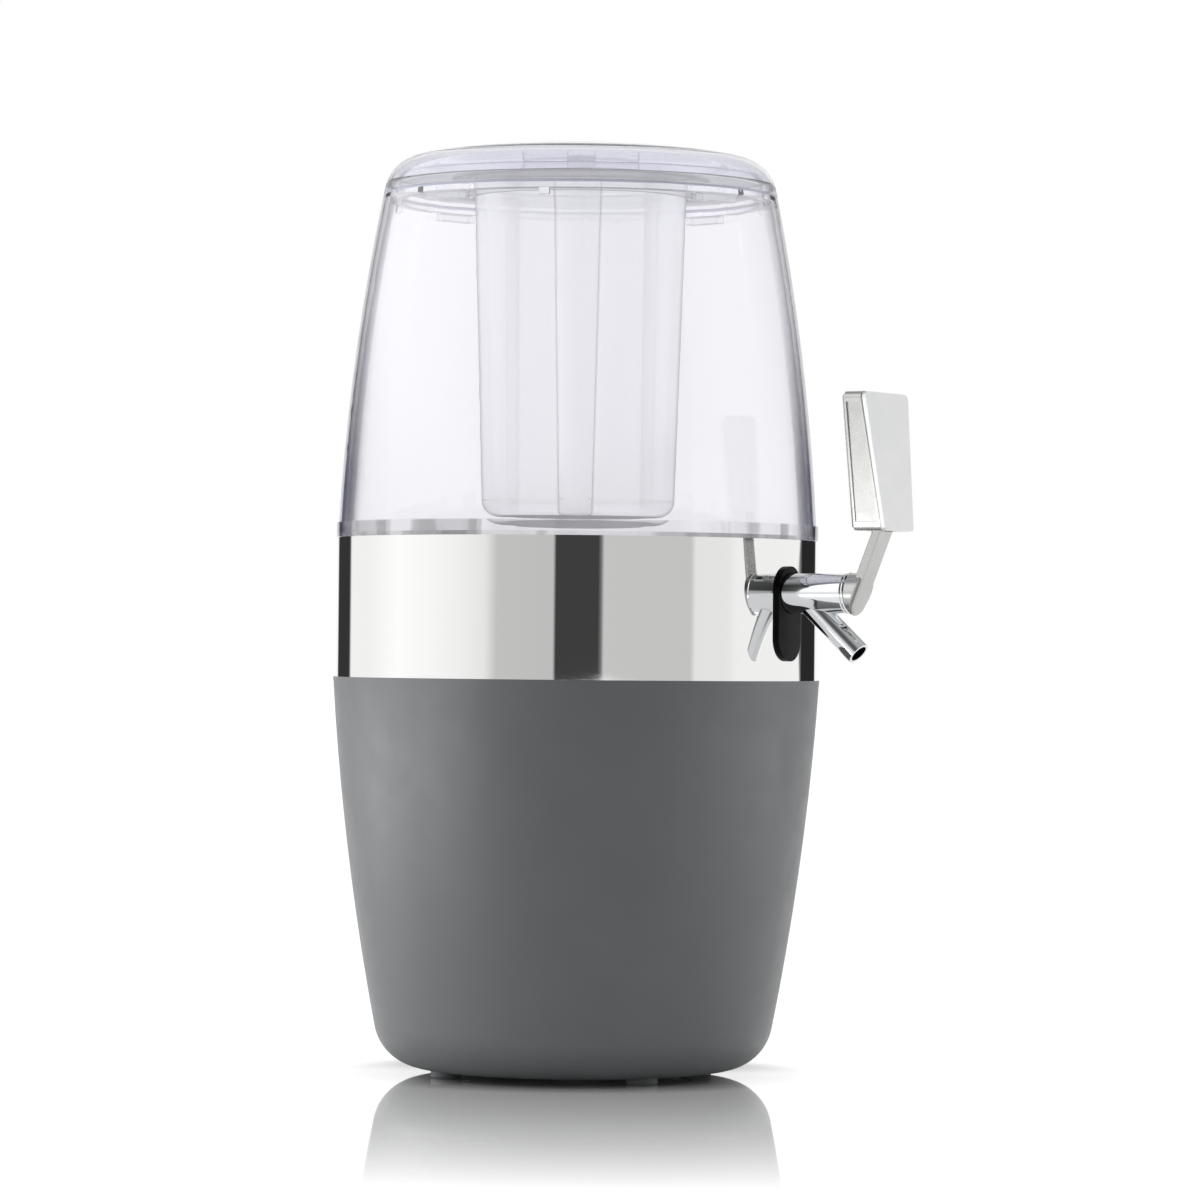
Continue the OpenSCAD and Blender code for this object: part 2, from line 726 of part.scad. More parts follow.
module paddle() {
    color("#c9ccd0") difference() {
        paddle_block();
        // flat bed for the badge
        on_front() translate([-paddle_top_w, -paddle_h / 2, badge_out - badge_t])
            cube([2 * paddle_top_w, 2 * paddle_h, 10]);
        // hollow behind the badge, above the tenon's socket
        on_front() translate([0, 0, badge_out - badge_t - paddle_hollow]) linear_extrude(paddle_hollow + 1)
            intersection() {
                badge_outline(badge_inset + 2.2);
                translate([-paddle_top_w, tenon_h + 5]) square([2 * paddle_top_w, paddle_h]);
            }
        // shallow panels on the narrow sides
        for (s = [0, 1]) mirror([s, 0, 0]) along_tap() translate([paddle_foot_w / 2, paddle_up, 0])
            rotate([0, 0, -paddle_side]) translate([2 - 0.6, 0, 0]) side_plate(4) polygon([
                [paddle_front - paddle_foot_t + 2.4, 3.6], [paddle_front - 2.9, 3.6],
                [paddle_front - paddle_back - 2.3, paddle_h - 4],
                [paddle_front - paddle_back - paddle_top_t + 2.2, paddle_h - 4]
            ]);
        // socket for the arm's tenon
        along_tap() side_plate(9.2) translate([tenon_t - arm_t / 2 - 0.1, paddle_up - 6])
            square([arm_t + 0.2, tenon_h + 6.2]);
        // clearance for the arm where it leans into the foot
        along_tap() side_plate(arm_w + 0.4) translate([tenon_t - arm_t, paddle_up - 5])
            square([2 * arm_t, 7.2]);
        along_tap(tenon_t - 20) translate([0, paddle_up + tenon_h - 5, 0]) {
            cylinder(r = 1.6, h = 20);
            cylinder(r = 3, h = 20 - arm_t / 2 - 2);
        }
    }
}

module paddle_badge() {
    color("#dedfe0") on_front() translate([0, 0, badge_out - badge_t])
        linear_extrude(badge_t) badge_outline(badge_inset);
}

module paddle_screw() {
    color("#8f9296") along_tap(tenon_t - arm_t / 2 - 2) translate([0, paddle_up + tenon_h - 5, 0])
        screw(1.3, arm_t + 1, 2.7, 1.6);
}

module carrier_seal() {
    color("#f2f4f6", 0.6) rotate_extrude() ring_box(lip_r + 0.4, tank_top_r - 0.5, tank_top_z, seat_z);
}

module core_carrier() {
    color("#eef1f6", 0.35) union() {
        rotate_extrude() union() {
            polygon([
                [skirt_ring_in, seat_z], [tank_top_r - 0.25, seat_z], [dome_rim_r, plate_z],
                [skirt_ring_in, plate_z]
            ]);
            ring_box(hole_r, skirt_ring_in + 1, plate_z - carrier_plate, plate_z);
            ring_box(skirt_ring_in, skirt_ring_r, lip_z - 0.2, seat_z + 1);
            // collar round the core's hole
            ring_box(hole_r, hole_r + 2, plate_z - 5.5, plate_z);
            // spigot that centres the dome
            polygon([
                [dome_rim_r - dome_wall - 2.8, plate_z - 1], [dome_rim_r - dome_wall - 0.7, plate_z - 1],
                [dome_rim_r - dome_wall - 0.7, plate_z], [dome_rim_r - dome_wall - 2.2, plate_z + 3],
                [dome_rim_r - dome_wall - 3.4, plate_z + 3]
            ]);
        }
        around([for (i = [0 : 3]) tap_dir + lug_angle + i * 90]) sector(lug_deg) union() {
            ring_box(skirt_ring_in + 0.4, lug_out, lug_z - lug_t, lug_z);
            ring_box(skirt_ring_in + 0.4, skirt_ring_r - 0.3, lug_z - lug_t, lip_z + 1);
        }
    }
}

core_lip = core_top_r - core_wall - 1.7;
plug_r = core_lip - 0.4;
cap_lugs = [for (i = [0 : flutes - 1]) tap_dir + i * 360 / flutes];

module ice_core() {
    color("#e6e6ea", 0.75) difference() {
        union() {
            difference() {
                rotate_extrude() core_outline(0, plate_z + 0.5);
                core_flutes(0);
            }
            rotate_extrude() ring_box(core_lip, flange_r, plate_z, flange_top);
        }
        difference() {
            rotate_extrude() union() {
                core_outline(core_wall, flange_top - 1.4);
                ring_box(0, core_lip, plate_z - 5, flange_top + 1);
            }
            core_flutes(core_wall);
        }
        // entry gaps for the cap's lugs
        around([for (a = cap_lugs) a + 35])
            sector(24) ring_box(core_lip - 2, core_lip + 1.7, plate_z, flange_top + 1);
    }
}

module core_cap() {
    color("#eef1f6", 0.45) union() {
        difference() {
            rotate_extrude() union() {
                polygon([
                    [0, flange_top], [flange_r, flange_top], [flange_r, flange_top + 1],
                    [flange_r - 14, flange_top + 3], [0, flange_top + 3]
                ]);
                ring_box(plug_r - 2, plug_r, flange_top - 2.8, flange_top + 1);
            }
            rotate_extrude() ring_box(
                flange_r - cap_seal_in, flange_r - cap_seal_in + cap_seal_w, flange_top - 1, flange_top + 1
            );
        }
        around(cap_lugs) sector(18)
            ring_box(plug_r - 1, core_lip + 1.3, flange_top - 2.8, flange_top - 1.7);
        // cross grip
        for (a = [0, 90]) rotate(tap_dir - 58.5 + a)
            translate([0, 0, flange_top + 2.5]) intersection() {
                translate([-grip_span / 2, -grip_t / 2, 0]) cube([grip_span, grip_t, grip_h + 0.5]);
                cylinder(d1 = grip_span, d2 = grip_span - 1, h = grip_h + 0.5);
            }
    }
}

module cap_seal() {
    color("#d0d2d4") rotate_extrude() ring_box(
        flange_r - cap_seal_in, flange_r - cap_seal_in + cap_seal_w, flange_top, flange_top + 1
    );
}

module dome_lid() {
    color("#eef1f6", 0.35) rotate_extrude() difference() {
        intersection() {
            dome_outline(0);
            ring_box(0, dome_rim_r + 5, plate_z, dome_top + 5);
        }
        dome_outline(dome_wall);
    }
}

base_shell();
bottom_cover();
cover_screws();
rubber_feet();
steel_band();
tank();
tank_floor();
floor_seal();
tank_screws();
tap_body();
tap_escutcheon();
tap_outer_gasket();
tap_inner_washer();
tap_nut();
tap_collar();
valve_plug();
valve_o_rings();
lever_arm();
lever_set_screw();
paddle();
paddle_badge();
paddle_screw();
carrier_seal();
core_carrier();
ice_core();
core_cap();
cap_seal();
dome_lid();
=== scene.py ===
# %% [markdown]
# # A barrel-shaped draft beer tower
# A hollow grey base lifts a clear tank, a polished steel band hides the joint between them, and an
# ice core hangs from a ring under a domed lid. The solids come from the CAD model and already stand
# where they belong, in metres. This lesson photographs them: it sets up the studio, gives every
# piece the finish of its real material, and adds the fine work that solids leave out.

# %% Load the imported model
import bpy
import math
from mathutils import Matrix, Quaternion, Vector


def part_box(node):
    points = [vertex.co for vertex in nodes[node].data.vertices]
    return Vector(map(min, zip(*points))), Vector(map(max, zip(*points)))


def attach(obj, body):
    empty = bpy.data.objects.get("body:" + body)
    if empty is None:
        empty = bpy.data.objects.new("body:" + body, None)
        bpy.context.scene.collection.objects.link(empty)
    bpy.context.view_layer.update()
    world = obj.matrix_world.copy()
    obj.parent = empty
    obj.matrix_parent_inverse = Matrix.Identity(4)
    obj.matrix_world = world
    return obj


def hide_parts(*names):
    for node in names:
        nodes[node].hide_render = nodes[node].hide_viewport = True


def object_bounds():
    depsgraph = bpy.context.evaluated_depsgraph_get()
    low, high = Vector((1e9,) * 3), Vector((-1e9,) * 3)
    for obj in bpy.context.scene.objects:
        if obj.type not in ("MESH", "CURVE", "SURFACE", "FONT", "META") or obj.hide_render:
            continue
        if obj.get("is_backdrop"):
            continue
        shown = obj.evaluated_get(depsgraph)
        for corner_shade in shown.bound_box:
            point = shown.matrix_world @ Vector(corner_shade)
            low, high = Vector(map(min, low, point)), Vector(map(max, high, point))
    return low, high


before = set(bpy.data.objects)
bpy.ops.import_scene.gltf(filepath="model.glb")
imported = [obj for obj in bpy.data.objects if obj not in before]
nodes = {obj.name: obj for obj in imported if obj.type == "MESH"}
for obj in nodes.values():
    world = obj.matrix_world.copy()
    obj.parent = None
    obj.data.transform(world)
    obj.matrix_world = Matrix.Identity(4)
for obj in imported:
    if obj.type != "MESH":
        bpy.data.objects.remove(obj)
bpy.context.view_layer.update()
MM = 0.001

# %% [markdown]
# ## Three small helpers
# Paint charts and photographs give colours as sRGB hex codes, while shaders count light linearly,
# so one function translates. Shader trees get long, so a second one adds a node, sets it up and
# links it in a single call. The third fills a Color Ramp, whose stops can't be set in one go.

# %% Colour and node helpers
def linear(code):
    """sRGB hex code to a linear RGBA colour."""
    parts = [int(code[i:i + 2], 16) / 255 for i in (1, 3, 5)]
    return [p / 12.92 if p <= 0.04045 else ((p + 0.055) / 1.055) ** 2.4 for p in parts] + [1.0]


def add(tree, kind, inputs=None, **settings):
    """A new node with its settings. An input is a value, a socket, or a node for its first output."""
    made = tree.nodes.new(kind)
    for name, value in settings.items():
        setattr(made, name, value)
    for socket, value in (inputs or {}).items():
        if isinstance(value, bpy.types.Node):
            value = value.outputs[0]
        if isinstance(value, bpy.types.NodeSocket):
            tree.links.new(value, made.inputs[socket])
        else:
            made.inputs[socket].default_value = value
    return made


def ramp(made, stops):
    """Fills a Color Ramp node with (position, grey level) stops."""
    band = made.color_ramp
    while len(band.elements) > 1:
        band.elements.remove(band.elements[-1])
    for i, (position, level) in enumerate(stops):
        stop = band.elements[0] if i == 0 else band.elements.new(position)
        stop.position = position
        stop.color = (level, level, level, 1)
    return made


print("white is", [round(c, 3) for c in linear("#ffffff")])

# %% [markdown]
# ## The camera
# The picture was taken with a long lens from about two metres, a little below half the tower's
# height, with the tap turned away to the right. A long lens keeps the barrel's sides from
# converging. The picture leans by half a degree, so the camera is rolled by as much.

# %% Camera
CAMERA_AZIMUTH = math.radians(-58.5)
CAMERA_DISTANCE = 2.13
CAMERA_HEIGHT = 0.178
PICTURE_SIDE = 1200
FOCAL_PIXELS = 5070
AXIS_AT_PIXEL = 577
HORIZON_AT_PIXEL = 649
CAMERA_ROLL = math.radians(0.53)

toward_camera = Vector((math.sin(CAMERA_AZIMUTH), -math.cos(CAMERA_AZIMUTH), 0))
camera_right = Vector((math.cos(CAMERA_AZIMUTH), math.sin(CAMERA_AZIMUTH), 0))
lens = bpy.data.cameras.new("long_lens")
lens.sensor_width = 36
lens.lens = lens.sensor_width * FOCAL_PIXELS / PICTURE_SIDE
camera = bpy.data.objects.new("camera", lens)
bpy.context.collection.objects.link(camera)
bpy.context.scene.camera = camera
camera.location = toward_camera * CAMERA_DISTANCE + Vector((0, 0, CAMERA_HEIGHT))
aim = -toward_camera * FOCAL_PIXELS
aim += camera_right * (PICTURE_SIDE / 2 - AXIS_AT_PIXEL)
aim += Vector((0, 0, HORIZON_AT_PIXEL - PICTURE_SIDE / 2))
camera.rotation_mode = "QUATERNION"
camera.rotation_quaternion = aim.to_track_quat("-Z", "Y") @ Quaternion((0, 0, 1), CAMERA_ROLL)
bpy.context.scene.view_settings.view_transform = "Standard"
print("lens in mm:", round(lens.lens, 1))

# %% [markdown]
# ## The studio
# Polished steel shows whatever stands around it, so the studio is part of the product's look. Soft
# white panels stand left and right, the space round the camera is dark, and two narrow dark flags
# beside the backdrop draw the edges of the metal and of the clear tank. All of it is painted on the
# world by the angle round the tower, which lights the object and is what metal sees. The camera
# itself sees plain white, also through clear plastic.

# %% Studio panels
# angle from the camera's side in degrees, positive to the right: light at the horizon, light above
STUDIO_STOPS = [
    (-180, 1.05, 1.05), (-161, 1.05, 1.05), (-159, 0.04, 0.40), (-138, 0.04, 0.60),
    (-136, 1.10, 2.00), (-117, 1.12, 2.20), (-94, 1.27, 2.20), (-75, 1.20, 2.00), (-57, 1.11, 1.50),
    (-44, 1.00, 0.40), (-38, 0.68, 0.15), (-11.2, 0.65, 0.06), (-11, 0.06, 0.06),
    (11.2, 0.06, 0.06), (11.4, 0.70, 0.06), (56, 0.69, 0.15), (56.6, 0.98, 0.60), (75, 1.00, 1.15),
    (82, 1.10, 1.20), (132, 1.10, 1.00), (134, 0.025, 0.40), (158, 0.025, 0.40),
    (160, 1.05, 1.05), (180, 1.05, 1.05),
]
CEILING = 0.55
# a Color Ramp holds 0 to 1, so the stops are kept as shares of this light
STRONGEST = 3.0
# sines of the elevation between which the horizon gives way to the light above, and that to the ceiling
ABOVE_FROM, ABOVE_TO = 0.08, 0.22
CEILING_FROM, CEILING_TO = 0.6, 0.9
print("studio stops:", len(STUDIO_STOPS))

# %% World
world = bpy.data.worlds.new("studio")
bpy.context.scene.world = world
world.use_nodes = True
tree = world.node_tree
tree.nodes.clear()
ray = add(tree, "ShaderNodeTexCoord")
turned = add(tree, "ShaderNodeMapping", {
    "Vector": ray.outputs["Generated"], "Rotation": (0, 0, math.pi / 2 - CAMERA_AZIMUTH)})
axes = add(tree, "ShaderNodeSeparateXYZ", {"Vector": turned})
angle = add(tree, "ShaderNodeMath", {
    0: axes.outputs["Y"], 1: axes.outputs["X"]}, operation="ARCTAN2")
share = add(tree, "ShaderNodeMapRange", {"Value": angle, "From Min": -math.pi, "From Max": math.pi})
horizon, above = [
    ramp(add(tree, "ShaderNodeValToRGB", {"Fac": share}),
         [(0.5 + stop[0] / 360, stop[column] / STRONGEST) for stop in STUDIO_STOPS])
    for column in (1, 2)]
rise = add(tree, "ShaderNodeMapRange", {
    "Value": axes.outputs["Z"], "From Min": ABOVE_FROM, "From Max": ABOVE_TO},
    interpolation_type="SMOOTHSTEP")
walls = add(tree, "ShaderNodeMixRGB", {"Fac": rise, "Color1": horizon, "Color2": above})
top = add(tree, "ShaderNodeMapRange", {
    "Value": axes.outputs["Z"], "From Min": CEILING_FROM, "From Max": CEILING_TO},
    interpolation_type="SMOOTHSTEP")
room = add(tree, "ShaderNodeMixRGB", {
    "Fac": top, "Color1": walls, "Color2": [CEILING / STRONGEST] * 3 + [1]})
path = add(tree, "ShaderNodeLightPath")
clear_view = add(tree, "ShaderNodeMath", {
    0: path.outputs["Is Camera Ray"], 1: path.outputs["Is Transmission Ray"]}, operation="MAXIMUM")
studio = add(tree, "ShaderNodeBackground", {"Color": room, "Strength": STRONGEST})
white = add(tree, "ShaderNodeBackground", {"Color": (1, 1, 1, 1), "Strength": 1.0})
seen = add(tree, "ShaderNodeMixShader", {0: clear_view, 1: studio, 2: white})
add(tree, "ShaderNodeOutputWorld", {"Surface": seen})
print("world nodes:", len(tree.nodes))

# %% [markdown]
# Two low cards stand beside the tower. They are lower than the steel band, so the band does not
# mirror them, and they lift the base's left and right sides out of the dark.

# %% Low cards
# name: angle from the camera's side in degrees, distance, width, height in m, brightness
LOW_CARDS = {"left_card": (-80, 0.62, 0.9, 0.085, 5.5), "right_card": (82, 0.75, 0.8, 0.085, 2.4)}
CARD_LIFT = 0.005
for name, (card_angle, away, wide, high, bright) in LOW_CARDS.items():
    card = bpy.data.lights.new(name, "AREA")
    card.shape = "RECTANGLE"
    card.size = wide
    card.size_y = high
    card.energy = bright * math.pi * wide * high
    stand = bpy.data.objects.new(name, card)
    bpy.context.collection.objects.link(stand)
    direction = Matrix.Rotation(math.radians(card_angle), 3, "Z") @ toward_camera
    stand.location = direction * away + Vector((0, 0, high / 2 + CARD_LIFT))
    stand.rotation_mode = "QUATERNION"
    stand.rotation_quaternion = (-direction).to_track_quat("-Z", "Y")
print("low cards:", len(LOW_CARDS))

# %% [markdown]
# ## The table
# The tower stands on white gloss acrylic, which mirrors the foot of the base and loses the mirror
# image further out. The mirror part fades with the distance from the axis and, as on any gloss, where
# one looks steeply down on it: Layer Weight gives that angle. The white comes from a faint glow under
# the gloss, and Ambient Occlusion dims it into a painted shadow in the narrow gap under the base,
# where the real table shows a black line.

# %% Floor
FLOOR_HALF = 20
floor_mesh = bpy.data.meshes.new("floor")
floor_mesh.from_pydata(
    [(x * FLOOR_HALF, y * FLOOR_HALF, 0) for x, y in ((-1, -1), (1, -1), (1, 1), (-1, 1))],
    [], [(0, 1, 2, 3)])
floor = bpy.data.objects.new("floor", floor_mesh)
bpy.context.collection.objects.link(floor)
print("floor is", 2 * FLOOR_HALF, "m wide")

# %% Where the floor mirrors
MIRROR_SHARE = 0.79
MIRROR_REACH = 0.48
MIRROR_FADE = 2.6
# behind the axis the mirror drops to this share within this depth in m
BEHIND_SHARE, BEHIND_DEPTH = 0.1, 0.06
# Layer Weight's Facing goes from 0, straight down, to 1, along the floor
STEEP, GRAZING = 0.78, 0.88

gloss_table = bpy.data.materials.new("white_gloss_acrylic")
gloss_table.use_nodes = True
tree = gloss_table.node_tree
tree.nodes.clear()
place = add(tree, "ShaderNodeTexCoord")
reach = add(tree, "ShaderNodeVectorMath", {0: place.outputs["Object"]}, operation="LENGTH")
far = add(tree, "ShaderNodeMapRange", {"Value": reach.outputs["Value"], "From Max": MIRROR_REACH})
bent = add(tree, "ShaderNodeMath", {0: far, 1: MIRROR_FADE}, operation="POWER")
fade = add(tree, "ShaderNodeMapRange", {"Value": bent, "To Min": MIRROR_SHARE, "To Max": 0.0})
ahead = add(tree, "ShaderNodeVectorMath", {
    0: place.outputs["Object"], 1: toward_camera}, operation="DOT_PRODUCT")
front = add(tree, "ShaderNodeMapRange", {
    "Value": ahead.outputs["Value"], "From Min": -BEHIND_DEPTH, "From Max": 0.0,
    "To Min": BEHIND_SHARE, "To Max": 1.0}, interpolation_type="SMOOTHSTEP")
near = add(tree, "ShaderNodeMath", {0: fade, 1: front}, operation="MULTIPLY")
look = add(tree, "ShaderNodeLayerWeight", {"Blend": 0.5})
along_floor = add(tree, "ShaderNodeMapRange", {
    "Value": look.outputs["Facing"], "From Min": STEEP, "From Max": GRAZING},
    interpolation_type="SMOOTHSTEP")
mirror = add(tree, "ShaderNodeMath", {0: near, 1: along_floor}, operation="MULTIPLY")
print("mirror image ends at", MIRROR_REACH, "m")

# %% White under the gloss
# painted shadow under the base: Ambient Occlusion within this depth in m, raised to this power, dims the
# glow
GAP_DEPTH = 0.025
GAP_SHADOW_POWER = 1.4
GLOW = 0.8
# what the table scatters; its glow makes up the rest of the white
TABLE_GREY = (0.4, 0.4, 0.4, 1)
# what the object's own shading sees of the table
BOUNCED_WHITE = (0.7, 0.7, 0.7, 1)
open_sky = add(tree, "ShaderNodeAmbientOcclusion", {"Distance": GAP_DEPTH}, samples=16)
shade = add(tree, "ShaderNodeMath", {0: open_sky.outputs["AO"], 1: GAP_SHADOW_POWER}, operation="POWER")
strength = add(tree, "ShaderNodeMath", {0: shade, 1: GLOW}, operation="MULTIPLY")
diffuse = add(tree, "ShaderNodeBsdfDiffuse", {"Color": TABLE_GREY})
glow = add(tree, "ShaderNodeEmission", {"Color": (1, 1, 1, 1), "Strength": strength})
lit = add(tree, "ShaderNodeAddShader", {0: diffuse, 1: glow})
gloss = add(tree, "ShaderNodeBsdfGlossy", {"Color": (1, 1, 1, 1), "Roughness": 0.03})
table = add(tree, "ShaderNodeMixShader", {0: mirror, 1: lit, 2: gloss})
path = add(tree, "ShaderNodeLightPath")
plain = add(tree, "ShaderNodeBsdfDiffuse", {"Color": BOUNCED_WHITE})
shown = add(tree, "ShaderNodeMixShader", {0: path.outputs["Is Diffuse Ray"], 1: table, 2: plain})
add(tree, "ShaderNodeOutputMaterial", {"Surface": shown})
floor_mesh.materials.append(gloss_table)
floor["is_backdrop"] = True
print("floor finish has", len(tree.nodes), "nodes")

# %% [markdown]
# ## Helpers for finishes
# No real surface is the same all over: plastic has a moulded grain, metal has polishing marks, rubber
# is dusty. Each finish below starts as one Principled shader and gets its detail from noise laid out
# in millimetres of the object itself, so the grain keeps its size in every view. A mould's or a
# plating's real grain is finer than a pixel of the picture, so grains under a millimetre are drawn
# several times as coarse as they are.

# %% Finish helpers
def finish(name, **values):
    """A material with one Principled shader; returns it with its tree and that shader."""
    made = bpy.data.materials.new(name)
    made.use_nodes = True
    made.node_tree.nodes.clear()
    shader = add(made.node_tree, "ShaderNodeBsdfPrincipled", values)
    add(made.node_tree, "ShaderNodeOutputMaterial", {"Surface": shader})
    return made, made.node_tree, shader


def grain(tree, size, detail=3.0, stretch=(1, 1, 1)):
    """Noise with grains of that size in mm; stretch squeezes it along an axis."""
    place = add(tree, "ShaderNodeTexCoord")
    laid = add(tree, "ShaderNodeMapping", {"Vector": place.outputs["Object"], "Scale": stretch})
    return add(tree, "ShaderNodeTexNoise", {
        "Vector": laid, "Scale": 1 / (size * MM), "Detail": detail})


# noise seldom leaves these two levels
NOISE_LOW, NOISE_HIGH = 0.3, 0.7


def vary(tree, shader, socket, source, low, high):
    """Drives a number on the shader between low and high by a noise."""
    spread = add(tree, "ShaderNodeMapRange", {
        "Value": source, "From Min": NOISE_LOW, "From Max": NOISE_HIGH, "To Min": low, "To Max": high})
    tree.links.new(spread.outputs[0], shader.inputs[socket])


def tint(tree, shader, source, dark, light):
    """Drives the base colour between two hex colours by a noise."""
    made = add(tree, "ShaderNodeValToRGB", {"Fac": source})
    for end, position, code in zip(
            made.color_ramp.elements, (NOISE_LOW, NOISE_HIGH), (dark, light)):
        end.position = position
        end.color = linear(code)
    tree.links.new(made.outputs["Color"], shader.inputs["Base Color"])


def relief(tree, shader, source, depth):
    """Turns a noise into dents that are depth mm deep."""
    dents = add(tree, "ShaderNodeBump", {"Height": source, "Strength": 1.0, "Distance": depth * MM})
    tree.links.new(dents.outputs[0], shader.inputs["Normal"])


def paint(material, *names):
    """Puts a finish on CAD nodes."""
    for name in names:
        nodes[name].data.materials.clear()
        nodes[name].data.materials.append(material)
    print(material.name, "on", ", ".join(names))


print("helpers: finish, grain, vary, tint, relief, paint")

# %% [markdown]
# ## Moulded plastic
# The base is matte grey ABS from a mould with a fine spark-eroded face: tiny dents break up the
# highlight, so the light panels show as a soft gradient and not as stripes. The cover below has a
# coarser texture, which hides scratches from being pushed about.

# %% Grey base and dark cover
# a fine even grain: broad soft light without a mirror image
abs_grey, tree, shader = finish("moulded_abs_grey", IOR=1.54)
tint(tree, shader, grain(tree, 35), "#5c5e60", "#606264")
vary(tree, shader, "Roughness", grain(tree, 12), 0.38, 0.44)
relief(tree, shader, grain(tree, 0.5, 2.0), 0.012)
paint(abs_grey, "base_shell")

# a coarse grain: dull and pebbled
abs_dark, tree, shader = finish("moulded_abs_dark", IOR=1.54)
tint(tree, shader, grain(tree, 25), "#47494c", "#4e5053")
vary(tree, shader, "Roughness", grain(tree, 6), 0.5, 0.62)
relief(tree, shader, grain(tree, 0.9, 2.0), 0.05)
paint(abs_dark, "bottom_cover")

# %% [markdown]
# ## Polished metal
# The band is stainless sheet, polished round its length until it mirrors the studio. The marks that
# polishing leaves run round the band, so the noise is squeezed along Z. The tap is chrome on a zinc
# casting: bluish, a little softer, with faint ripples from the casting under it, and on the paddle
# and its arm it is satin. Metals keep the default IOR, because their colour sets the reflection.

# %% Steel, chrome and plated screws
# a near mirror with hair-fine marks along the band
steel, tree, shader = finish("polished_stainless_steel", **{
    "Base Color": linear("#e4e4e3"), "Metallic": 1.0})
vary(tree, shader, "Roughness", grain(tree, 8, 4.0, (1, 1, 40)), 0.006, 0.02)
relief(tree, shader, grain(tree, 3, 3.0, (1, 1, 25)), 0.00015)
paint(steel, "steel_band")

# a bright mirror that wavers a little
chrome, tree, shader = finish("chrome_plate", **{"Base Color": linear("#d6d8da"), "Metallic": 1.0})
vary(tree, shader, "Roughness", grain(tree, 5, 4.0), 0.03, 0.075)
relief(tree, shader, grain(tree, 9, 2.0), 0.004)
paint(chrome, "tap_body", "tap_collar", "valve_plug")

# a silky grey that blurs what stands round it
satin, tree, shader = finish("satin_chrome_plate", Metallic=1.0)
tint(tree, shader, grain(tree, 12), "#adadab", "#b3b3b1")
vary(tree, shader, "Roughness", grain(tree, 4, 4.0), 0.22, 0.3)
relief(tree, shader, grain(tree, 0.6, 2.0), 0.0006)
paint(satin, "paddle", "lever_arm")

# crystals of zinc: a patchy, frosty grey
zinc, tree, shader = finish("zinc_plated_steel", Metallic=1.0)
tint(tree, shader, grain(tree, 1.5), "#a9acb0", "#c6c8ca")
vary(tree, shader, "Roughness", grain(tree, 0.8), 0.24, 0.42)
relief(tree, shader, grain(tree, 0.25), 0.01)
paint(zinc, "cover_screws", "tank_screws", "lever_set_screw", "paddle_screw")

# %% [markdown]
# ## Screws by rule
# A screw is one outline turned round an axis, with a thread that climbs one pitch in each turn. That
# is a rule, so Geometry Nodes can make it from a flat grid: one side of the grid runs along the
# outline from the head's middle to the tip, the other side runs once round the axis. The tree's
# named inputs are the sizes that a screw maker would ask for.

# %% Inputs of the screw tree
RING_SIZES = (
    "Head Radius", "Head Height", "Socket Radius", "Shank Radius", "Shank Length", "Pitch",
    "Thread Depth", "Ring Radius", "Seat Height", "Start Angle")
RING_INPUTS = {**dict.fromkeys(RING_SIZES, "Float"), "Count": "Int", "Seed": "Int", "Material": "Material"}
ring_tree = bpy.data.node_groups.new("screw_ring", "GeometryNodeTree")
for name, kind in RING_INPUTS.items():
    ring_tree.interface.new_socket(name=name, in_out="INPUT", socket_type="NodeSocket" + kind)
ring_tree.interface.new_socket(name="Geometry", in_out="OUTPUT", socket_type="NodeSocketGeometry")
asked = add(ring_tree, "NodeGroupInput").outputs
print("screw tree has", len(RING_INPUTS), "inputs")

# %% [markdown]
# Float Curves hold the outline, one for each size: they say how much of that size counts at each
# place along the outline. The heights of head and shank then give the way up, and the radii the way
# out from the axis.

# %% Outline of a screw
OUTLINE_ROWS, ROUND_ROWS = 201, 49
SOCKET_FLOOR = 0.45
RUNS = {
    "Socket Radius": [(0, 0), (0.03, 1), (0.05, 1), (0.08, 0), (1, 0)],
    "Head Radius": [
        (0, 0), (0.05, 0), (0.08, 0.64), (0.12, 0.8), (0.16, 0.93), (0.19, 0.985), (0.22, 1),
        (0.25, 1), (0.28, 0), (1, 0)],
    "Head Height": [
        (0, SOCKET_FLOOR), (0.03, SOCKET_FLOOR), (0.05, 1), (0.08, 0.98), (0.12, 0.92), (0.16, 0.78),
        (0.19, 0.58), (0.22, 0.32), (0.25, 0), (1, 0)],
    "Shank Radius": [(0, 0), (0.25, 0), (0.28, 1), (0.94, 1), (1, 0)],
    "Shank Length": [(0, 0), (0.28, 0), (1, 1)],
    "Thread Depth": [(0, 0), (0.3, 0), (0.34, 1), (0.93, 1), (0.95, 0), (1, 0)],
}


def outline(made, points):
    """Fills a Float Curve node with straight runs through (input, output) points."""
    curve = made.mapping.curves[0]
    for spot, place in zip(curve.points, (points[0], points[-1])):
        spot.location = place
    for place in points[1:-1]:
        curve.points.new(*place)
    for spot in curve.points:
        spot.handle_type = "VECTOR"
    made.mapping.update()
    return made


sheet = add(ring_tree, "GeometryNodeMeshGrid", {
    "Size X": 1.0, "Size Y": 1.0, "Vertices X": OUTLINE_ROWS, "Vertices Y": ROUND_ROWS})
spot = add(ring_tree, "GeometryNodeInputPosition")
axes = add(ring_tree, "ShaderNodeSeparateXYZ", {0: spot})
along = add(ring_tree, "ShaderNodeMath", {0: axes.outputs["X"], 1: 0.5}, operation="ADD")
turns = add(ring_tree, "ShaderNodeMath", {0: axes.outputs["Y"], 1: 0.5}, operation="ADD")
angle = add(ring_tree, "ShaderNodeMath", {0: turns, 1: math.tau}, operation="MULTIPLY")
run = {}
for size, points in RUNS.items():
    curve = outline(add(ring_tree, "ShaderNodeFloatCurve", {"Value": along}), points)
    run[size] = add(ring_tree, "ShaderNodeMath", {0: curve, 1: asked[size]}, operation="MULTIPLY")
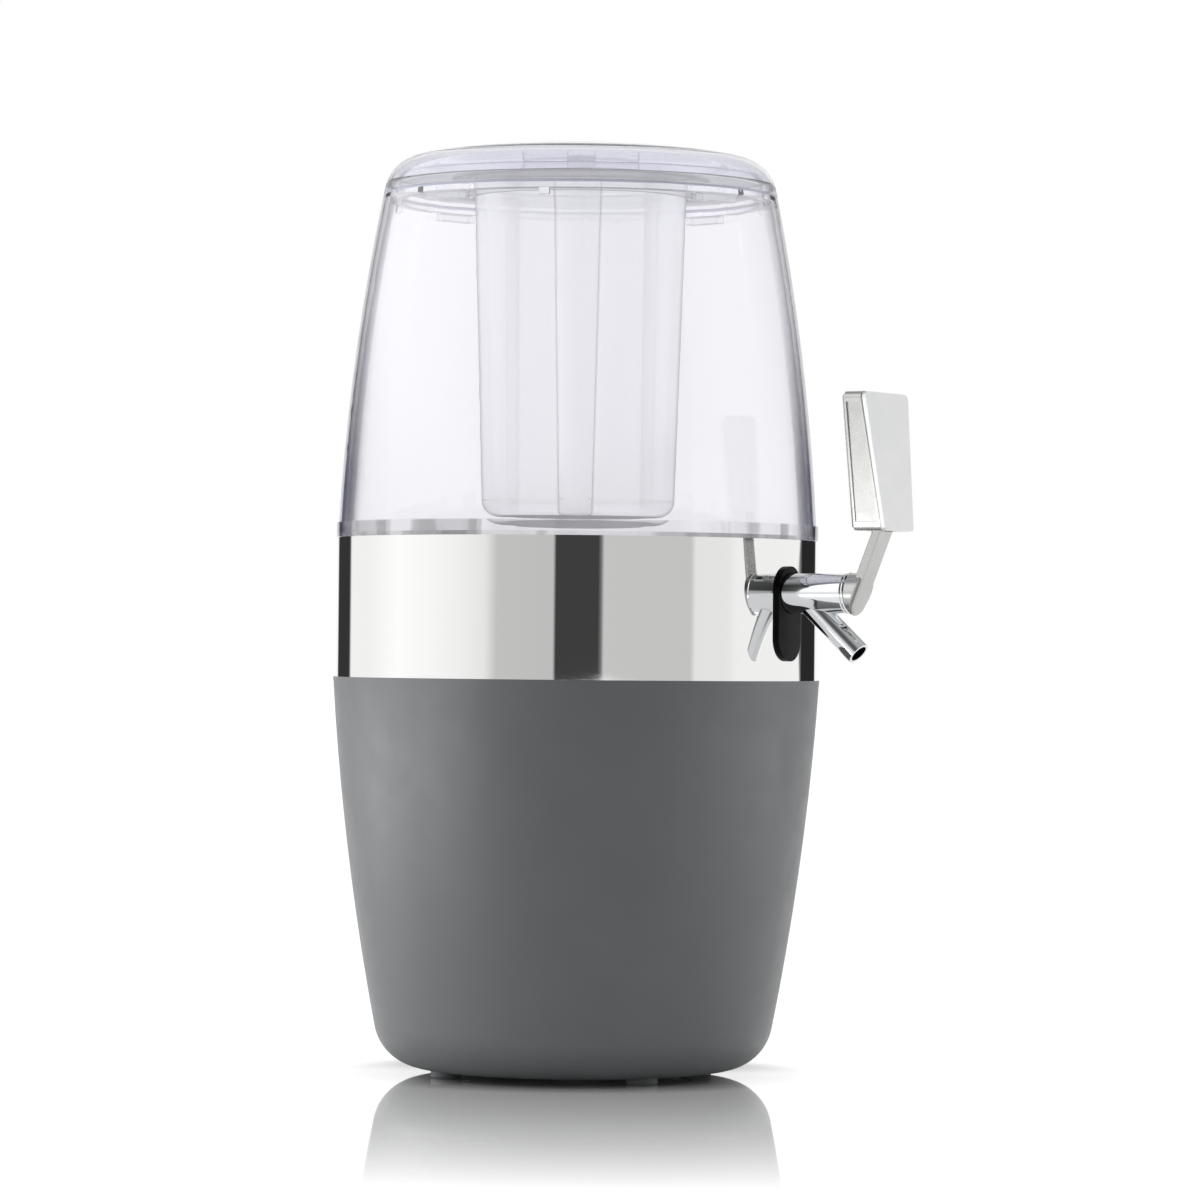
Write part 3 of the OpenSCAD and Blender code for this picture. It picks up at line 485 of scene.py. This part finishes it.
up = add(ring_tree, "ShaderNodeMath", {
    0: run["Head Height"], 1: run["Shank Length"]}, operation="SUBTRACT")
round_part = add(ring_tree, "ShaderNodeMath", {
    0: run["Head Radius"], 1: run["Shank Radius"]}, operation="ADD")
print("outline has", len(RUNS), "curves")

# %% [markdown]
# A cosine of the angle bends the middle of the head into a hexagon socket, and a sawtooth of height
# and angle cuts the thread into the shank.

# %% Socket and thread
SIXTH = math.pi / 3
in_sixth = add(ring_tree, "ShaderNodeMath", {0: angle, 1: SIXTH}, operation="FLOORED_MODULO")
from_flat = add(ring_tree, "ShaderNodeMath", {0: in_sixth, 1: SIXTH / 2}, operation="SUBTRACT")
lean = add(ring_tree, "ShaderNodeMath", {0: from_flat}, operation="COSINE")
hexagon = add(ring_tree, "ShaderNodeMath", {0: math.cos(SIXTH / 2), 1: lean}, operation="DIVIDE")
socket_part = add(ring_tree, "ShaderNodeMath", {
    0: hexagon, 1: run["Socket Radius"]}, operation="MULTIPLY")
uncut = add(ring_tree, "ShaderNodeMath", {0: round_part, 1: socket_part}, operation="ADD")

pitches = add(ring_tree, "ShaderNodeMath", {0: up, 1: asked["Pitch"]}, operation="DIVIDE")
climb = add(ring_tree, "ShaderNodeMath", {0: pitches, 1: turns}, operation="SUBTRACT")
sawtooth = add(ring_tree, "ShaderNodeMath", {0: climb}, operation="FRACT")
doubled = add(ring_tree, "ShaderNodeMath", {0: sawtooth, 1: 2.0}, operation="MULTIPLY")
centred = add(ring_tree, "ShaderNodeMath", {0: doubled, 1: 1.0}, operation="SUBTRACT")
valley = add(ring_tree, "ShaderNodeMath", {0: centred}, operation="ABSOLUTE")
cut = add(ring_tree, "ShaderNodeMath", {0: valley, 1: run["Thread Depth"]}, operation="MULTIPLY")
out = add(ring_tree, "ShaderNodeMath", {0: uncut, 1: cut}, operation="SUBTRACT")
print("screw tree has", len(ring_tree.nodes), "nodes so far")

# %% [markdown]
# Now the grid is rolled up, Merge by Distance closes its seam, and edges that fold sharply are kept
# crisp. A circle of points places the screws, heads down, each with a spin of its own, because no
# one lines up screw heads.

# %% Ring of screws
SEAM = 0.002 * MM
CRISP_FOLD = math.radians(40)
cosine = add(ring_tree, "ShaderNodeMath", {0: angle}, operation="COSINE")
sine = add(ring_tree, "ShaderNodeMath", {0: angle}, operation="SINE")
rolled = add(ring_tree, "ShaderNodeCombineXYZ", {
    "X": add(ring_tree, "ShaderNodeMath", {0: out, 1: cosine}, operation="MULTIPLY"),
    "Y": add(ring_tree, "ShaderNodeMath", {0: out, 1: sine}, operation="MULTIPLY"), "Z": up})
screw = add(ring_tree, "GeometryNodeSetPosition", {"Geometry": sheet, "Position": rolled})
closed = add(ring_tree, "GeometryNodeMergeByDistance", {"Geometry": screw, "Distance": SEAM})
smooth = add(ring_tree, "GeometryNodeSetShadeSmooth", {"Geometry": closed}, domain="FACE")
fold = add(ring_tree, "GeometryNodeInputMeshEdgeAngle")
sharp = add(ring_tree, "FunctionNodeCompare", {
    0: fold.outputs["Unsigned Angle"], 1: CRISP_FOLD}, data_type="FLOAT", operation="GREATER_THAN")
crisp = add(ring_tree, "GeometryNodeSetShadeSmooth", {
    "Geometry": smooth, "Selection": sharp, "Shade Smooth": False}, domain="EDGE")

circle = add(ring_tree, "GeometryNodeMeshCircle", {
    "Vertices": asked["Count"], "Radius": asked["Ring Radius"]})
seat_at = add(ring_tree, "ShaderNodeCombineXYZ", {"Z": asked["Seat Height"]})
start = add(ring_tree, "ShaderNodeCombineXYZ", {"Z": asked["Start Angle"]})
seats = add(ring_tree, "GeometryNodeTransform", {
    "Geometry": circle, "Translation": seat_at, "Rotation": start})
# sockets 2 and 3 are the lowest and highest number, output 1 is a number
spin = add(ring_tree, "FunctionNodeRandomValue", {
    2: 0.0, 3: math.tau, "Seed": asked["Seed"]}, data_type="FLOAT")
upturned = add(ring_tree, "ShaderNodeCombineXYZ", {"X": math.pi, "Z": spin.outputs[1]})
placed = add(ring_tree, "GeometryNodeInstanceOnPoints", {
    "Points": seats, "Instance": crisp, "Rotation": upturned})
solid = add(ring_tree, "GeometryNodeRealizeInstances", {"Geometry": placed})
finished = add(ring_tree, "GeometryNodeSetMaterial", {
    "Geometry": solid, "Material": asked["Material"]})
add(ring_tree, "NodeGroupOutput", {"Geometry": finished})
print("screw tree has", len(ring_tree.nodes), "nodes")

# %% [markdown]
# ## Screws in the base
# Four short screws hold the cover, and four long ones hold the tank's floor from below. The tree runs
# once for each ring and its result is kept as a plain mesh, because the part goes on to programs that
# know no node trees. How deep the screws sit comes from the plain solids that they stand for.

# %% Both rings
# sizes in mm
SCREWS = {
    "cover_screws": {
        "head_radius": 3.0, "head_height": 1.0, "socket_radius": 1.3, "shank_radius": 1.6,
        "pitch": 0.8, "thread_depth": 0.35, "ring_radius": 46.0},
    "tank_screws": {
        "head_radius": 3.8, "head_height": 2.4, "socket_radius": 1.6, "shank_radius": 1.6,
        "pitch": 1.2, "thread_depth": 0.35, "ring_radius": 87.0},
}
SEEDS = {"cover_screws": 3, "tank_screws": 8}
SCREWS_IN_RING = 4
FIRST_SCREW = math.radians(45)


def grown(name, tree, **settings):
    """Runs a node tree once with those named inputs and keeps its result as a plain mesh."""
    carrier = bpy.data.objects.new(name + "_rule", bpy.data.meshes.new(name + "_rule"))
    bpy.context.collection.objects.link(carrier)
    rule = carrier.modifiers.new("rule", "NODES")
    rule.node_group = tree
    for socket in tree.interface.items_tree:
        key = socket.name.lower().replace(" ", "_")
        if socket.in_out == "INPUT" and key in settings:
            rule[socket.identifier] = settings[key]
    graph = bpy.context.evaluated_depsgraph_get()
    mesh = bpy.data.meshes.new_from_object(carrier.evaluated_get(graph), depsgraph=graph)
    bpy.data.objects.remove(carrier)
    piece = bpy.data.objects.new(name, mesh)
    bpy.context.collection.objects.link(piece)
    print(name, "has", len(mesh.polygons), "faces")
    return piece


for node, piece_name in (("cover_screws", "cover_screw_ring"), ("tank_screws", "tank_screw_ring")):
    sizes = {name: size * MM for name, size in SCREWS[node].items()}
    low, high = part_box(node)
    seat = low.z + sizes["head_height"]
    piece = grown(
        piece_name, ring_tree, seat_height=seat, shank_length=high.z - seat, count=SCREWS_IN_RING,
        start_angle=FIRST_SCREW, seed=SEEDS[node], material=zinc, **sizes)
    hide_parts(node)
    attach(piece, "tower")

# %% [markdown]
# ## Clear plastic
# Tank, floor, carrier, cap and lid are clear styrene plastic. It has a faint lavender tint that
# only shows where light runs a long way inside the wall, so the tint is a Volume Absorption inside
# the solid: edges and corners come out darker than flat faces, as on the real piece. A very shallow,
# wide ripple stands for the flow marks of moulding. Light that only brightens what is inside goes
# straight through, because a renderer seldom finds its way through bent glass.

# %% Lid and floor
def found(tree, kind):
    """The one node of that kind in a tree."""
    return [made for made in tree.nodes if made.bl_idname == kind][0]


# clear as glass, with darker corners and soft waves in what shines through
clear, tree, shader = finish("clear_styrene_acrylonitrile", **{
    "Base Color": linear("#f3f3f9"), "IOR": 1.49, "Transmission Weight": 1.0})
vary(tree, shader, "Roughness", grain(tree, 20), 0.0, 0.012)
relief(tree, shader, grain(tree, 14, 1.0, (1, 1, 0.4)), 0.006)
out = found(tree, "ShaderNodeOutputMaterial")
inside = add(tree, "ShaderNodeVolumeAbsorption", {"Color": linear("#b9bdc9"), "Density": 26.0})
tree.links.new(inside.outputs[0], out.inputs["Volume"])
path = add(tree, "ShaderNodeLightPath")
soft = add(tree, "ShaderNodeMath", {
    0: path.outputs["Is Shadow Ray"], 1: path.outputs["Is Diffuse Ray"]}, operation="MAXIMUM")
straight = add(tree, "ShaderNodeBsdfTransparent", {"Color": linear("#f8f8fb")})
glass = add(tree, "ShaderNodeMixShader", {0: soft, 1: shader, 2: straight})
tree.links.new(glass.outputs[0], out.inputs["Surface"])
paint(clear, "tank_floor", "dome_lid")

# %% [markdown]
# The tank's tall wall is seen edge-on at both sides, where it shows the dark studio flags and looks
# smoky, most towards its foot. Layer Weight says how flatly one looks along the wall, and two ramps,
# for the foot and for the wall above it, turn that into painted shade in the wall's colour. The foot
# ring is a lens that bends in grey and white streaks from all round, which a wide noise paints in.

# %% Tank wall
# heights in m: where the foot's painted shade starts to lighten, where it has, and the foot ring's top
FOOT_SHADE_TO, WALL_SHADE_FROM, FOOT_RING_TOP = 0.25, 0.32, 0.23
FOOT_RING_BLUR = 0.3 * MM


def by_slant(tree, slant, stops):
    """A grey level by how flatly one looks along the surface: 0 is straight on, 1 is edge-on."""
    return ramp(add(tree, "ShaderNodeValToRGB", {"Fac": slant.outputs["Facing"]}), stops)


wall = clear.copy()
wall.name = "clear_styrene_acrylonitrile_wall"
tree = wall.node_tree
shader = found(tree, "ShaderNodeBsdfPrincipled")
slant = add(tree, "ShaderNodeLayerWeight", {"Blend": 0.5})
# painted shade, darker the more edge-on the wall is seen: the first ramp for the foot, the second for the
# wall above
foot_shade = by_slant(tree, slant, [
    (0.40, 1.0), (0.55, 0.96), (0.63, 0.87), (0.68, 0.68), (0.72, 0.25), (0.79, 0.05)])
thin = by_slant(tree, slant, [
    (0.40, 1.0), (0.52, 0.96), (0.65, 0.90), (0.73, 0.80), (0.80, 0.56), (0.88, 0.03)])
place = add(tree, "ShaderNodeTexCoord")
axes = add(tree, "ShaderNodeSeparateXYZ", {0: place.outputs["Object"]})
height = add(tree, "ShaderNodeMapRange", {
    "Value": axes.outputs["Z"], "From Min": FOOT_SHADE_TO, "From Max": WALL_SHADE_FROM})
painted_edge_shade = add(tree, "ShaderNodeMixRGB", {"Fac": height, "Color1": foot_shade, "Color2": thin})
lavender = add(tree, "ShaderNodeMixRGB", {
    "Fac": painted_edge_shade, "Color1": (0, 0, 0.04, 1), "Color2": linear("#fefdff")})
foot = add(tree, "ShaderNodeMapRange", {
    "Value": axes.outputs["Z"], "From Min": FOOT_RING_TOP - FOOT_RING_BLUR,
    "From Max": FOOT_RING_TOP + FOOT_RING_BLUR, "To Min": 1.0, "To Max": 0.0})
# painted refraction: grey and white streaks of the surroundings in the foot ring's colour
streaks = ramp(add(tree, "ShaderNodeValToRGB", {"Fac": grain(tree, 34, 1.0, (1, 1, 0.1))}), [
    (0.34, 0.92), (0.44, 0.85), (0.53, 0.88), (0.545, 0.42), (0.63, 0.5), (0.65, 0.9)])
ringed = add(tree, "ShaderNodeMixRGB", {
    "Fac": foot, "Color1": lavender, "Color2": streaks}, blend_type="MULTIPLY")
tree.links.new(ringed.outputs["Color"], shader.inputs["Base Color"])
paint(wall, "tank")

# %% [markdown]
# Carrier and cap are seen through three walls. They get thin glass that does not bend light, with a
# faint painted glow that keeps the many walls behind one another bright. What tells the eye where
# such a piece ends is its darker outline, a painted shade where the face is seen edge-on and near its
# edges. A Bevel node looks for corners: where its rounded normal leaves the flat one, there is an
# edge close by.

# %% Pieces under the lid
# a painted glow: its share of the see-through part and its strength
PAINTED_GLOW_SHARE = 0.2
PAINTED_GLOW_STRENGTH = 0.9


def shade_at_edges(tree, radius, sharp, even, darkest):
    """A painted shade: a grey level that falls from 1 to darkest within radius mm of an edge."""
    rounded = add(tree, "ShaderNodeBevel", {"Radius": radius * MM}, samples=6)
    flat = add(tree, "ShaderNodeNewGeometry")
    bend = add(tree, "ShaderNodeVectorMath", {
        0: rounded, 1: flat.outputs["Normal"]}, operation="DOT_PRODUCT")
    return add(tree, "ShaderNodeMapRange", {
        "Value": bend.outputs["Value"], "From Min": sharp, "From Max": even,
        "To Min": darkest, "To Max": 1.0})


# almost nothing but its outline, which is painted shade
inner, tree, shader = finish("clear_styrene_acrylonitrile_inner", **{
    "Base Color": linear("#e8eaf2"), "Metallic": 1.0})
vary(tree, shader, "Roughness", grain(tree, 20), 0.01, 0.04)
slant = add(tree, "ShaderNodeLayerWeight", {"Blend": 0.5})
edge = by_slant(tree, slant, [(0.3, 1.0), (0.7, 0.96), (0.88, 0.7), (0.98, 0.45)])
corner_shade = shade_at_edges(tree, 0.5, 0.8, 0.97, 0.42)
painted_outline_shade = add(tree, "ShaderNodeMath", {0: edge, 1: corner_shade}, operation="MULTIPLY")
lavender = add(tree, "ShaderNodeMixRGB", {
    "Fac": painted_outline_shade, "Color1": linear("#2c2d3a"), "Color2": linear("#fcfcfe")})
through = add(tree, "ShaderNodeBsdfTransparent", {"Color": lavender})
painted_glow = add(tree, "ShaderNodeEmission", {"Color": lavender, "Strength": PAINTED_GLOW_STRENGTH})
see_through_and_glow = add(tree, "ShaderNodeMixShader", {0: PAINTED_GLOW_SHARE, 1: through, 2: painted_glow})
# a mirror image that is faint straight on and strong edge-on
fifth = add(tree, "ShaderNodeMath", {0: slant.outputs["Facing"], 1: 5.0}, operation="POWER")
mirror = add(tree, "ShaderNodeMapRange", {"Value": fifth, "To Min": 0.03, "To Max": 0.4})
glass = add(tree, "ShaderNodeMixShader", {0: mirror, 1: see_through_and_glow, 2: shader})
tree.links.new(glass.outputs[0], found(tree, "ShaderNodeOutputMaterial").inputs["Surface"])
paint(inner, "core_carrier", "core_cap")

# %% [markdown]
# The seals are milky silicone. In the clear tower they would be dark rings, but the real ones pass
# light along, which a faint painted glow stands for.

# %% Seals
# milky, with a dull and slightly uneven face and a faint painted glow
silicone, tree, shader = finish("milky_silicone", **{
    "Base Color": linear("#b4b6c6"), "IOR": 1.41, "Emission Color": linear("#dfe1ee"),
    "Emission Strength": 0.12})
vary(tree, shader, "Roughness", grain(tree, 3), 0.2, 0.34)
relief(tree, shader, grain(tree, 0.8), 0.01)
paint(silicone, "floor_seal", "carrier_seal", "cap_seal", "tap_inner_washer")

# %% [markdown]
# ## Milky plastic
# The ice core is natural polypropylene. A thin wall of it lets part of the light straight through and
# scatters the rest to both sides, and more of it the flatter one looks along the wall. So the shader
# mixes a milky body with a plain see-through part, and leaves the way out of each wall clear. The far
# wall, seen from inside, is evenly lit and shows almost nothing, so it is left nearly clear. The milk's
# white is painted darker where the wall is seen edge-on and along the edges of the flutes, as painted
# shade. While the core hangs in the tank, a faint painted glow stands for the light that does not find
# its way in through the bent tank wall. Lifted out and seen straight from the camera, its white is
# painted darker instead.

# %% Milk of the core
SCATTERED_ON = 0.75
# seen straight from the camera, the milk's white is painted darker by this share
DIRECT_VIEW_PAINTED_SHADE = 0.72
# frosted white, with painted shade along its edges and folds and a painted glow inside the tank
frosted, tree, shader = finish("natural_polypropylene", IOR=1.49)
vary(tree, shader, "Roughness", grain(tree, 6), 0.42, 0.55)
relief(tree, shader, grain(tree, 0.6, 2.0), 0.01)
slant = add(tree, "ShaderNodeLayerWeight", {"Blend": 0.5})
path = add(tree, "ShaderNodeLightPath")
# painted shade: the milk white darkens where the wall is seen edge-on and, by the Bevel, along the flutes'
# edges
milk_and_edge_shade = by_slant(tree, slant, [(0.0, 0.94), (0.75, 0.92), (0.9, 0.66), (0.98, 0.34)])
fold = shade_at_edges(tree, 1.6, 0.88, 0.99, 0.55)
milk_and_crease_shade = add(tree, "ShaderNodeMath", {0: milk_and_edge_shade, 1: fold}, operation="MULTIPLY")
direct_view_shade = add(tree, "ShaderNodeMapRange", {
    "Value": path.outputs["Is Camera Ray"], "To Min": 1.0, "To Max": DIRECT_VIEW_PAINTED_SHADE})
milk_with_painted_shade = add(tree, "ShaderNodeMath", {0: milk_and_crease_shade, 1: direct_view_shade}, operation="MULTIPLY")
tree.links.new(milk_with_painted_shade.outputs[0], shader.inputs["Base Color"])
behind = add(tree, "ShaderNodeBsdfTranslucent", {"Color": milk_with_painted_shade})
body = add(tree, "ShaderNodeMixShader", {0: SCATTERED_ON, 1: shader, 2: behind})
# painted glow, only for rays that come through the tank, weaker edge-on and at the flutes' edges
glow = by_slant(tree, slant, [(0.0, 0.29), (0.5, 0.27), (0.72, 0.18), (0.9, 0.05)])
painted_glow_in_tank = add(tree, "ShaderNodeMath", {
    0: glow, 1: path.outputs["Is Transmission Ray"]}, operation="MULTIPLY")
painted_glow_strength = add(tree, "ShaderNodeMath", {0: painted_glow_in_tank, 1: fold}, operation="MULTIPLY")
lit = add(tree, "ShaderNodeEmission", {"Color": linear("#fafafb"), "Strength": painted_glow_strength})
milk = add(tree, "ShaderNodeAddShader", {0: body, 1: lit})
print("milk has", len(tree.nodes), "nodes")

# %% Walls of the core
FAR_WALL = 0.93
# a face counts as a far wall where its normal times its place leans inwards by more than this, in m
FACES_AXIS = -0.015
side = add(tree, "ShaderNodeNewGeometry")
through = add(tree, "ShaderNodeBsdfTransparent", {"Color": (1, 1, 1, 1)})
thinness = by_slant(tree, slant, [(0.0, 0.34), (0.5, 0.3), (0.8, 0.2), (0.95, 0.05)])
away = add(tree, "ShaderNodeVectorMath", {
    0: side.outputs["Position"], 1: (1, 1, 0)}, operation="MULTIPLY")
outward = add(tree, "ShaderNodeVectorMath", {
    0: side.outputs["Normal"], 1: away}, operation="DOT_PRODUCT")
outside = add(tree, "ShaderNodeMath", {
    0: outward.outputs["Value"], 1: FACES_AXIS}, operation="GREATER_THAN")
seen = add(tree, "ShaderNodeMixRGB", {
    "Fac": outside, "Color1": (FAR_WALL, FAR_WALL, FAR_WALL, 1), "Color2": thinness})
share = add(tree, "ShaderNodeMath", {
    0: side.outputs["Backfacing"], 1: seen}, operation="MAXIMUM")
wall_of_core = add(tree, "ShaderNodeMixShader", {0: share, 1: milk, 2: through})
tree.links.new(wall_of_core.outputs[0], found(tree, "ShaderNodeOutputMaterial").inputs["Surface"])
paint(frosted, "ice_core")

# %% [markdown]
# ## Small pieces
# The tap's nut is cream nylon, a little see-through at its edges. The escutcheon is satin black
# plastic, which stays black and only shows a faint wide sheen. Gaskets and feet are rubber: no clear
# highlight, a dusty grain. The plate on the paddle is covered with pale silver lacquer, flat and even
# with a faint orange-peel face.

# %% Nut and escutcheon
# waxy and warm white
nylon, tree, shader = finish("natural_nylon", **{
    "IOR": 1.53, "Subsurface Weight": 0.3, "Subsurface Radius": (1, 0.9, 0.8),
    "Subsurface Scale": 3 * MM})
tint(tree, shader, grain(tree, 4), "#e2e1dd", "#eae9e6")
vary(tree, shader, "Roughness", grain(tree, 2), 0.35, 0.45)
paint(nylon, "tap_nut")

# deep black with little sheen
black, tree, shader = finish("satin_abs_black", **{"IOR": 1.54, "Specular IOR Level": 0.06})
tint(tree, shader, grain(tree, 7), "#060607", "#0a0a0b")
vary(tree, shader, "Roughness", grain(tree, 7), 0.34, 0.46)
relief(tree, shader, grain(tree, 5, 2.0), 0.004)
paint(black, "tap_escutcheon")

# %% Rubber and badge
# dusty grey
rubber, tree, shader = finish("thermoplastic_rubber", IOR=1.5)
tint(tree, shader, grain(tree, 2), "#5e6062", "#686a6c")
vary(tree, shader, "Roughness", grain(tree, 1.5), 0.6, 0.78)
relief(tree, shader, grain(tree, 0.35), 0.03)
paint(rubber, "rubber_feet")

# dusty black
nitrile, tree, shader = finish("nitrile_rubber", IOR=1.52)
tint(tree, shader, grain(tree, 2), "#161617", "#1e1e1f")
vary(tree, shader, "Roughness", grain(tree, 1), 0.5, 0.7)
relief(tree, shader, grain(tree, 0.3), 0.02)
paint(nitrile, "tap_outer_gasket", "valve_o_rings")

# an even pale grey with a soft sheen
silver, tree, shader = finish("silver_lacquer", Metallic=0.75)
tint(tree, shader, grain(tree, 14), "#dedfdf", "#e3e3e3")
vary(tree, shader, "Roughness", grain(tree, 5), 0.34, 0.42)
relief(tree, shader, grain(tree, 0.6, 2.0), 0.003)
paint(silver, "paddle_badge")

# %% [markdown]
# ## Sizes
# The finished model's box is printed in mm.

# %% Sizes
low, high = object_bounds()
print("visual box in mm:", [round((h - l) / MM, 1) for l, h in zip(low, high)])
